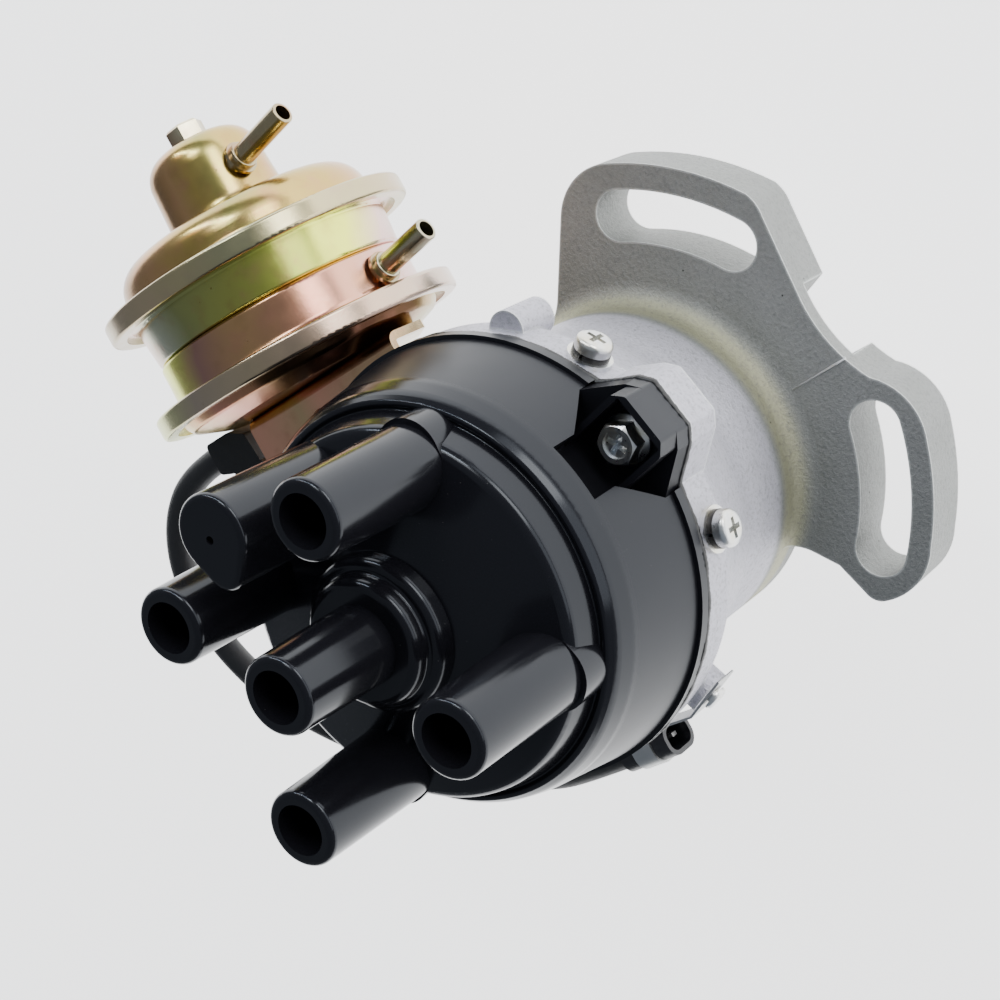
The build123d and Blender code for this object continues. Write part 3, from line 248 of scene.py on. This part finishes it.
spring_steel = Finish("spring_steel", {"Metallic": 1.0})
spring_steel.two_tone(0.003, (0.035, 0.035, 0.038), (0.09, 0.085, 0.08))
spring_steel.set("Roughness", 0.32 + spring_steel.noise(0.001) * 0.2)
spring_steel.dress("plate_spring_washers")

clip_steel = Finish("clip_steel", {"Metallic": 1.0})
clip_steel.two_tone(0.006, (0.40, 0.41, 0.42), (0.58, 0.58, 0.56))
clip_steel.set("Roughness", 0.3 + clip_steel.noise(0.0015, 4.0) * 0.2)
clip_steel.dress("connector_clip")

# ---------------------------------------------------------------- terminals in the cap
# Aluminium pins moulded into the towers, and the carbon brush that slides under the centre one.
pin_metal = Finish("pin_metal", {"Metallic": 1.0})
pin_metal.two_tone(0.003, (0.50, 0.47, 0.42), (0.66, 0.64, 0.60))
pin_metal.set("Roughness", 0.34 + pin_metal.noise(0.0008, 3.0) * 0.2)
pin_metal.dress("outer_terminals", "centre_terminal")

carbon = Finish("carbon", {"Base Color": rgba(0.02, 0.02, 0.021)})
carbon.set("Roughness", 0.5 + carbon.noise(0.0008) * 0.25)
carbon.dress("carbon_brush")

# ---------------------------------------------------------------- brush spring
# Fine spring wire behind the carbon brush. It is pressed together when the rotor pushes the brush
# into its holder.
brush_coil = fresh_copy("brush_spring", "brush_coil", 0.000005)
bpy.ops.object.shade_smooth_by_angle(angle=radians(40))
brush_coil.data.materials.append(spring_steel.material)
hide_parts("brush_spring")
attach(brush_coil, "body")
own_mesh(brush_coil)

# ---------------------------------------------------------------- housing
# Die-cast aluminium, bead blasted. The flare of the neck is painted lighter and yellowish, and the
# neck above it lighter and bluish: painted highlights. Its spigot and seat ring are turned bright,
# and handling has rubbed its edges.
CAST_GRAIN = 0.00085
FLARE_STARTS, FLARE_ENDS = (0.0128, 0.0150), (0.0185, 0.0215)
NECK_STARTS = (0.0205, 0.0235)
SPIGOT_ENDS, SPIGOT_EDGE = (0.0001, 0.0004), (0.0299, 0.0303)
TOOL_MARKS = 14000      # radians of the tool's waves in each metre
WORN_ACROSS = 0.0009
CAST_DARK, CAST_LIGHT = (0.26, 0.268, 0.258), (0.36, 0.365, 0.36)
# the last two colours on the next line are painted highlights: bluish on the neck, yellowish on the
# flare
CAST_STAIN, NECK_HIGHLIGHT, FLARE_HIGHLIGHT = (0.28, 0.30, 0.26), (0.60, 0.59, 0.66), (0.48, 0.46, 0.27)
GRAIN_GREY, PIT_BLACK = (0.20, 0.20, 0.205), (0.02, 0.02, 0.02)
TURNED, RUBBED = (0.55, 0.55, 0.55), (0.80, 0.82, 0.80)
cast_metal = Finish("cast_metal", {"Metallic": 0.9, "IOR": 1.5})
x_place, y_place, z_place = (cast_metal.axis(letter) for letter in "XYZ")
radius = (x_place * x_place + y_place * y_place) ** 0.5
grain = cast_metal.noise(CAST_GRAIN, 4.0, 0.7)
mottle = cast_metal.noise(0.012, 3.0)
stain = cast_metal.noise(0.03, 2.0)
pits = 1 - cast_metal.step(cast_metal.spots(0.0075), 0.018, 0.035)
neck = cast_metal.step(z_place, *NECK_STARTS)
flare = cast_metal.step(z_place, *FLARE_STARTS) * (1 - cast_metal.step(z_place, *FLARE_ENDS))
turned_part = 1 - cast_metal.step(z_place, *SPIGOT_ENDS)
turned_part = turned_part * (1 - cast_metal.step(radius, *SPIGOT_EDGE))
tool_waves = cast_metal.math("SINE", (radius + z_place) * TOOL_MARKS)

# an edge is worn where the normal of a rounded copy leaves the true one
true_normal = cast_metal.node("NewGeometry", output="Normal")
rounded_normal = cast_metal.node("Bevel", {"samples": 4}, {"Radius": WORN_ACROSS})
alike = cast_metal.node(
    "VectorMath", {"operation": "DOT_PRODUCT"}, [true_normal, rounded_normal], output="Value")
worn_edge = 1 - cast_metal.step(alike + (grain - 0.5) * 0.05, 0.86, 0.97)

metal_colour = cast_metal.mix(mottle, rgba(*CAST_DARK), rgba(*CAST_LIGHT))
# the neck and flare layers paint highlights into the colour; the others are stain, grain, pits,
# turning and wear
layers = [
    (stain * 0.35, CAST_STAIN), (neck * 0.8, NECK_HIGHLIGHT), (flare * 0.6, FLARE_HIGHLIGHT),
    (cast_metal.step(grain, 0.45, 0.75) * 0.55, GRAIN_GREY), (pits * 0.9, PIT_BLACK),
    (turned_part * 0.8, TURNED), (worn_edge * 0.8, RUBBED)]
for share, colour in layers:
    metal_colour = cast_metal.mix(share, metal_colour, rgba(*colour))
cast_metal.set("Base Color", metal_colour)
cast_metal.set("Roughness", (0.50 + grain * 0.16) * (1 - turned_part * 0.5))
cast_metal.bump(grain * (1 - turned_part) + tool_waves * turned_part * 0.08, 0.0004, 0.7)
cast_metal.dress("housing")

# ---------------------------------------------------------------- parting line
# A thin raised line across the web of the flange, where a slide of the die met its neighbour. It
# was left as cast, and the whole line has one rubbed, bright finish.
FLANGE_TOP = 0.013
LINE_FROM, LINE_TO = (0.00055, -0.0408), (0.00165, -0.0549)
LINE_ACROSS = 0.00055
LINE_PROUD = 0.00022
CREST = 0.45            # of the foot's width
line_run = Vector(LINE_TO) - Vector(LINE_FROM)
line_middle = (Vector(LINE_TO) + Vector(LINE_FROM)) / 2
bpy.ops.object.select_all(action="DESELECT")
bpy.ops.mesh.primitive_cube_add(
    size=1, location=(*line_middle, FLANGE_TOP),
    rotation=(0, 0, line_run.angle_signed(Vector((1, 0)))),
    scale=(line_run.length, LINE_ACROSS, LINE_PROUD * 2))
parting_line = bpy.context.object
parting_line.name = "parting_line"
bpy.ops.object.transform_apply(location=True, rotation=True, scale=True)
bpy.ops.object.mode_set(mode="EDIT")
bpy.ops.mesh.select_mode(type="FACE")
bpy.ops.mesh.select_all(action="DESELECT")
bpy.ops.object.mode_set(mode="OBJECT")
for face in parting_line.data.polygons:
    face.select = face.normal.z > 0.9
bpy.ops.object.mode_set(mode="EDIT")
bpy.ops.transform.resize(value=(CREST, 0.97, 1), center_override=(*line_middle, FLANGE_TOP))
bpy.ops.mesh.select_all(action="SELECT")
bpy.ops.mesh.subdivide(number_cuts=5, fractal=0.25, fractal_along_normal=0.2, seed=3)
bpy.ops.object.mode_set(mode="OBJECT")
crest = parting_line.modifiers.new("crest", "BEVEL")
crest.width = 0.00006
crest.segments = 2
bpy.ops.object.modifier_apply(modifier="crest")
bpy.ops.object.shade_smooth_by_angle(angle=radians(40))

rubbed_metal = Finish("rubbed_metal", {"Metallic": 0.9})
rubbed_metal.two_tone(0.0012, (0.46, 0.46, 0.45), (0.80, 0.80, 0.78), 4.0)
rubbed_metal.set("Roughness", 0.34 + rubbed_metal.noise(0.0006) * 0.2)
rubbed_metal.bump(rubbed_metal.noise(0.0004, 4.0), 0.00004, 0.5)
parting_line.data.materials.append(rubbed_metal.material)
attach(parting_line, "body")

# ---------------------------------------------------------------- vacuum unit
# Deep-drawn steel shells rolled together at two rims, with yellow chromate over zinc. The film is
# uneven, so each shell goes from gold through olive and green to pink round its axis. On the outer
# drum the pale yellow stop is a painted highlight, set on the side that faces the lights.
CAN_Y, CAN_Z = 0.0312, 0.0572
RIM_STARTS = (0.0300, 0.0312)
HUE_TURN = 0.222        # where the hues start round the axis, in half turns
HUE_DRIFT = 0.16        # how far their borders wander
HUE_SLOPE = 1.6         # how far they turn in each metre along the axis
HUE_MIDDLE_X = 0.066
GOLD, BRONZE, OLIVE = (0.56, 0.40, 0.12), (0.34, 0.19, 0.08), (0.40, 0.35, 0.11)
GREEN, LIME, DARK_GREEN = (0.46, 0.47, 0.12), (0.66, 0.72, 0.12), (0.32, 0.34, 0.14)
ROSE, MAUVE, PEACH = (0.62, 0.28, 0.20), (0.42, 0.23, 0.19), (0.60, 0.36, 0.17)
RIM_GREY, TAR_BROWN = (0.52, 0.53, 0.40), (0.12, 0.07, 0.03)


def chromate(name, hues):
    """Chromate over zinc: hues follow each other half round the unit and back again."""
    plate = Finish(name, {"Metallic": 1.0})
    across = plate.axis("Y") - CAN_Y
    up = plate.axis("Z") - CAN_Z
    round_it = plate.math("ARCTAN2", up, across * -1) / pi + HUE_TURN
    drift = (plate.noise(0.016, 2.0) - 0.5) * HUE_DRIFT
    slope = (plate.axis("X") - HUE_MIDDLE_X) * HUE_SLOPE
    order = plate.math("PINGPONG", round_it + drift + slope, 1.0)
    stops = [(i / (len(hues) - 1), hue) for i, hue in enumerate(hues)]
    colour = plate.node("ValToRGB", {"stops": stops}, [order])
    aside = plate.node("VectorMath", {}, [plate.place, (0.3, 0.1, 0.2)])
    brown_patch = plate.step(plate.noise(0.0045, 4.0), 0.5, 0.8) * 0.3
    rose_patch = plate.step(plate.noise(0.008, 3.0, 0.6, aside), 0.5, 0.72) * 0.3
    rim = plate.step((across * across + up * up) ** 0.5, *RIM_STARTS) * 0.5
    specks = 1 - plate.step(plate.spots(0.006), 0.02, 0.05)
    layers = [(brown_patch, BRONZE), (rose_patch, ROSE), (rim, RIM_GREY), (specks * 0.6, TAR_BROWN)]
    for share, hue in layers:
        colour = plate.mix(share, colour, rgba(*hue))
    plate.set("Base Color", colour)
    plate.set("Roughness", 0.15 + plate.noise(0.005, 3.0) * 0.16 + specks * 0.2)
    plate.bump(plate.noise(0.0011, 4.0) * 0.2 + plate.noise(0.011, 1.0), 0.00012, 0.5)
    return plate


PINK_GREY, PINK_WHITE, PALE = (0.56, 0.44, 0.36), (0.76, 0.52, 0.48), (0.86, 0.92, 0.14)
UMBER, SALMON, CREAM = (0.14, 0.07, 0.04), (0.74, 0.38, 0.26), (0.90, 0.82, 0.56)
WORN_BRONZE, KHAKI, TAN = (0.30, 0.21, 0.13), (0.44, 0.37, 0.22), (0.56, 0.40, 0.22)
SHELLS = {
    "vacuum_cover": [OLIVE, PEACH, GOLD, GOLD, OLIVE, GOLD, PEACH, BRONZE, BRONZE],
    # the PALE stop on this drum is a painted highlight, on the side that faces the lights
    "outer_drum": [PINK_GREY, PINK_WHITE, PALE, LIME, GREEN, DARK_GREEN, RIM_GREY, PINK_WHITE],
    "inner_drum": [PINK_WHITE, PINK_WHITE, SALMON, ROSE, PEACH, MAUVE, LIME, PALE],
    "vacuum_dish": [OLIVE, BRONZE, UMBER, UMBER, BRONZE, ROSE, GOLD, GOLD],
    "vacuum_plug": [KHAKI, CREAM, WORN_BRONZE],
}
for shell, hues in SHELLS.items():
    chromate(shell.removeprefix("vacuum_") + "_chromate", hues).dress(shell)
chromate("nipple_chromate", [WORN_BRONZE, KHAKI, WORN_BRONZE, KHAKI]).dress(
    "outer_nipple", "inner_nipple")
chromate("bracket_chromate", [CREAM, TAN, SALMON, TAN, SALMON]).dress("vacuum_bracket", "pull_rod")

# ---------------------------------------------------------------- inside the vacuum unit
# Nitrile diaphragms with fabric in them, pressed steel pistons and a spring of hard drawn wire.
# The same plain steel serves for the shaft, the plates, the pins and the other springs.
diaphragm_rubber = Finish("diaphragm_rubber", {"Base Color": rgba(0.018, 0.017, 0.016)})
diaphragm_rubber.set("Roughness", 0.6 + diaphragm_rubber.noise(0.003) * 0.2)
diaphragm_rubber.bump(diaphragm_rubber.noise(0.0007), 0.0001, 0.4)
diaphragm_rubber.dress("outer_diaphragm", "inner_diaphragm")

plain_steel = Finish("plain_steel", {"Metallic": 1.0})
plain_steel.two_tone(0.007, (0.42, 0.42, 0.43), (0.58, 0.57, 0.56))
plain_steel.set("Roughness", 0.3 + plain_steel.noise(0.0012, 4.0) * 0.2)
plain_steel.bump(plain_steel.noise(0.0009, 4.0), 0.00005, 0.4)
plain_steel.dress(
    "outer_piston", "inner_piston", "vacuum_spring", "shaft", "thrust_washer", "drive_pin",
    "governor_plate", "weight_pins", "governor_springs", "advance_sleeve", "base_plate",
    "pickup_plate", "rotor_screw", "connector_pins")

# ---------------------------------------------------------------- drive and governor
# The coupling is blackened steel, the flyweights, the toothed wheel and the pickup's core are
# sintered, and the bushes are oiled bronze.
dark_steel = Finish("dark_steel", {"Metallic": 1.0})
dark_steel.two_tone(0.004, (0.10, 0.10, 0.11), (0.19, 0.18, 0.17))
dark_steel.set("Roughness", 0.38 + dark_steel.noise(0.001, 4.0) * 0.2)
dark_steel.bump(dark_steel.noise(0.0006, 3.0), 0.00006, 0.5)
dark_steel.dress("drive_coupling", "weight_a", "weight_b", "reluctor", "pickup_core")

bronze = Finish("bronze", {"Metallic": 1.0})
bronze.two_tone(0.002, (0.46, 0.28, 0.13), (0.62, 0.42, 0.22))
bronze.set("Roughness", 0.36 + bronze.noise(0.0006, 3.0) * 0.25)
bronze.dress("lower_bush", "upper_bush")

# ---------------------------------------------------------------- rubber and moulded parts
# The o-ring and the shaft seal are nitrile, the lead's duct is soft rubber, and the connector and
# the rotor arm are black nylon. The rotor's brass blade and the pickup's magnet and coil follow.
ring_rubber = Finish("ring_rubber", {"Base Color": rgba(0.012, 0.012, 0.013)})
ring_rubber.set("Roughness", 0.42 + ring_rubber.noise(0.004) * 0.2)
ring_rubber.bump(ring_rubber.noise(0.0008), 0.00006, 0.5)
ring_rubber.dress("o_ring", "oil_seal")

duct_rubber = Finish("duct_rubber", {"Base Color": rgba(0.014, 0.014, 0.015)})
duct_rubber.set("Roughness", 0.5 + duct_rubber.noise(0.005) * 0.2)
duct_rubber.bump(duct_rubber.noise(0.0012, 4.0), 0.0001, 0.5)
duct_rubber.dress("lead_duct")

nylon = Finish("nylon", {"Base Color": rgba(0.011, 0.011, 0.014), "IOR": 1.53})
nylon.set("Roughness", 0.26 + nylon.noise(0.004) * 0.14)
nylon.bump(nylon.noise(0.0007, 3.0), 0.00005, 0.5)
nylon.dress("connector", "rotor_arm")

brass = Finish("brass", {"Metallic": 1.0})
brass.two_tone(0.004, (0.62, 0.44, 0.17), (0.76, 0.58, 0.28))
brass.set("Roughness", 0.26 + brass.noise(0.001, 3.0) * 0.2)
brass.dress("rotor_blade")

ferrite = Finish("ferrite", {"Base Color": rgba(0.05, 0.047, 0.045)})
ferrite.set("Roughness", 0.5 + ferrite.noise(0.0008, 4.0) * 0.25)
ferrite.dress("pickup_magnet")

WINDINGS = 21000        # radians of the wire's waves in each metre
ENAMEL_DARK, ENAMEL_LIGHT = (0.16, 0.05, 0.02), (0.42, 0.16, 0.06)
coil_wire = Finish("coil_wire", {"Metallic": 0.6})
turns = coil_wire.math("SINE", coil_wire.axis("Z") * WINDINGS) * 0.5 + 0.5
coil_wire.set("Base Color", coil_wire.mix(turns, rgba(*ENAMEL_DARK), rgba(*ENAMEL_LIGHT)))
coil_wire.set("Roughness", 0.3 + coil_wire.noise(0.001) * 0.15)
coil_wire.dress("pickup_coil")

# ---------------------------------------------------------------- pickup lead
# A two-core lead in a soft black sheath, 6 mm across. It leaves the duct beside the vacuum unit,
# goes round behind the housing and ends in the connector clipped to the bowl.
LEAD_ACROSS = 0.006
LEAD_ROUTE = [
    (0.0464, 0.0650, 0.0600),
    (0.0464, 0.0765, 0.0600),
    (0.0400, 0.0880, 0.0606),
    (0.0275, 0.0960, 0.0600),
    (0.0115, 0.0985, 0.0580),
    (-0.0050, 0.0955, 0.0545),
    (-0.0195, 0.0865, 0.0510),
    (-0.0310, 0.0735, 0.0488),
    (-0.0395, 0.0590, 0.0482),
    (-0.0452, 0.0440, 0.0495),
    (-0.0479, 0.0310, 0.0526),
    (-0.0483, 0.01975, 0.0541),
    (-0.0483, 0.00775, 0.0541),
]
lead_line = bpy.data.curves.new("lead", "CURVE")
lead_line.dimensions = "3D"
run = lead_line.splines.new("NURBS")
run.points.add(len(LEAD_ROUTE) - 1)
for knot, place in zip(run.points, LEAD_ROUTE):
    knot.co = (*place, 1)
run.order_u = 3
run.use_endpoint_u = True
lead_line.resolution_u = 16
lead_line.bevel_depth = LEAD_ACROSS / 2
lead_line.bevel_resolution = 6
lead_line.use_fill_caps = True
lead = bpy.data.objects.new("lead", lead_line)
bpy.context.collection.objects.link(lead)

sheath = Finish("sheath", {"Base Color": rgba(0.015, 0.015, 0.016)})
sheath.set("Roughness", 0.42 + sheath.noise(0.006) * 0.2)
sheath.bump(sheath.noise(0.0009, 4.0) + sheath.noise(0.008, 1.0) * 1.5, 0.00012, 0.5)
lead_line.materials.append(sheath.material)
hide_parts("pickup_lead")
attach(lead, "body")

# ---------------------------------------------------------------- boots on the lead
# Short ribbed rubber sleeves that keep the lead from kinking, one moulded over it at the
# connector and one where it leaves the duct.
BOOT_R = 0.0040
BOOT_FOOT = 1.02        # the foot's width, in parts of the radius
BOOT_TAPER = 0.2        # how much narrower the far end is
BOOT_RIBS = 3
RIB_DEPTH = 0.1
BOOT_ROUNDING = 0.00035


def select_ring(piece, place):
    """Select the ring of points that lies at that place along the sleeve."""
    bpy.ops.object.mode_set(mode="OBJECT")
    for vertex in piece.data.vertices:
        vertex.select = abs(vertex.co.y - place) < 0.00001
    bpy.ops.object.mode_set(mode="EDIT")


def boot(name, foot, length):
    """Tapered sleeve along Y with round ribs, whose foot sits on the piece that it guards."""
    bpy.ops.object.select_all(action="DESELECT")
    bpy.ops.mesh.primitive_cylinder_add(
        vertices=48, radius=BOOT_R, depth=length,
        location=(foot[0], foot[1] + length / 2, foot[2]), rotation=(pi / 2, 0, 0))
    piece = bpy.context.object
    piece.name = name
    bpy.ops.object.transform_apply(location=True, rotation=True, scale=True)
    bpy.ops.object.mode_set(mode="EDIT")
    bpy.ops.mesh.select_mode(type="VERT")
    rings = 2 * BOOT_RIBS + 1
    for i in range(1, rings):
        bpy.ops.mesh.select_all(action="SELECT")
        bpy.ops.mesh.bisect(plane_co=(0, foot[1] + length * i / rings, 0), plane_no=(0, 1, 0))
    for i in range(rings + 1):
        select_ring(piece, foot[1] + length * i / rings)
        width = BOOT_FOOT - BOOT_TAPER * i / rings - (RIB_DEPTH if i % 2 else 0)
        bpy.ops.transform.resize(value=(width, 1, width), center_override=foot)
    bpy.ops.object.mode_set(mode="OBJECT")
    edge = piece.modifiers.new("edge", "BEVEL")
    edge.width = BOOT_ROUNDING
    edge.segments = 3
    edge.angle_limit = radians(12)
    bpy.ops.object.modifier_apply(modifier="edge")
    bpy.ops.object.shade_smooth_by_angle(angle=radians(40))
    piece.data.materials.append(duct_rubber.material)
    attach(piece, "body")
    return piece


connector_boot = boot("connector_boot", LEAD_ROUTE[-1], 0.0085)
duct_boot = boot("duct_boot", LEAD_ROUTE[0], 0.0055)

# ---------------------------------------------------------------- floor
# A pale matt sheet just under the drive end, which glows as a light table does.
FLOOR_ACROSS = 6
FLOOR_GAP = 0.0005
bpy.ops.object.select_all(action="DESELECT")
bpy.ops.mesh.primitive_plane_add(size=FLOOR_ACROSS, location=(0, 0, cad_box[0][2] - FLOOR_GAP))
floor = bpy.context.object
floor.name = "floor"
floor_paint = Finish("floor_paint", {"Roughness": 0.85, "Emission Strength": 2.6})
paint = floor_paint.mix(floor_paint.noise(0.3), rgba(0.86, 0.86, 0.86), rgba(0.89, 0.89, 0.89))
floor_paint.set("Base Color", paint)
floor_paint.set("Emission Color", paint)
floor.data.materials.append(floor_paint.material)

# ---------------------------------------------------------------- lights
# A dim cool room, a wide pale wall in front and four panels: two white ones, a long narrow one for
# the streaks in the black plastic, and a small warm one.
ROOM_COLOUR, ROOM_GLOW = (0.80, 0.88, 1.0, 1), 0.30
MIDDLE = Vector((0.02, 0.0, 0.06))
world = bpy.data.worlds.new("studio")
bpy.context.scene.world = world
world.use_nodes = True
room = world.node_tree.nodes["Background"]
room.inputs["Color"].default_value = ROOM_COLOUR
room.inputs["Strength"].default_value = ROOM_GLOW


def soft_light(name, towards, far, size, glow, colour, roll=0.0):
    """Rectangular light in that direction, whose glow is its brightness seen in a mirror."""
    lamp = bpy.data.lights.new(name, "AREA")
    lamp.shape = "RECTANGLE"
    lamp.size, lamp.size_y = size
    lamp.energy = glow * pi * size[0] * size[1]
    lamp.color = colour
    holder = bpy.data.objects.new(name, lamp)
    bpy.context.collection.objects.link(holder)
    reach = Vector(towards).normalized()
    holder.location = MIDDLE + reach * far
    turn = (-reach).to_track_quat("-Z", "Y") @ Quaternion((0, 0, 1), radians(roll))
    holder.rotation_euler = turn.to_euler()
    holder.visible_camera = False


soft_light("front_wall", (0.1, -1.0, 0.30), 1.4, (2.6, 0.6), 2.2, (0.93, 0.96, 1.0))
soft_light("key", (0.40, -0.90, 0.34), 1.0, (0.45, 0.30), 7, (1.0, 0.98, 0.95))
soft_light("top_left", (0.75, -0.40, 0.62), 1.2, (0.35, 0.35), 7, (1.0, 0.99, 0.97))
soft_light("window", (0.85, -0.10, 0.42), 1.2, (1.1, 0.05), 34, (0.78, 0.88, 1.0), -22)
soft_light("warm_wall", (0.88, 0.10, 0.45), 1.3, (0.30, 0.16), 2.2, (1.0, 0.60, 0.36), -22)

# ---------------------------------------------------------------- camera
# It looks down on the cap from the flange's side, turned so that the shaft leans to the upper right.
CAMERA_PLACE = (0.01783, -0.24505, 0.35435)
CAMERA_RIGHT = Vector((-0.47960562, -0.67873269, -0.55614781))
CAMERA_DOWN = Vector((-0.87723348, 0.35571968, 0.32237389))
CAMERA_AHEAD = Vector((-0.02097298, 0.64248381, -0.7660122))
eye = bpy.data.cameras.new("camera")
eye.sensor_width = 36
eye.lens = 69.65
eye.clip_start = 0.01
camera = bpy.data.objects.new("camera", eye)
bpy.context.collection.objects.link(camera)
turning = Matrix((CAMERA_RIGHT, -CAMERA_DOWN, -CAMERA_AHEAD)).transposed().to_4x4()
camera.matrix_world = Matrix.Translation(CAMERA_PLACE) @ turning
bpy.context.scene.camera = camera
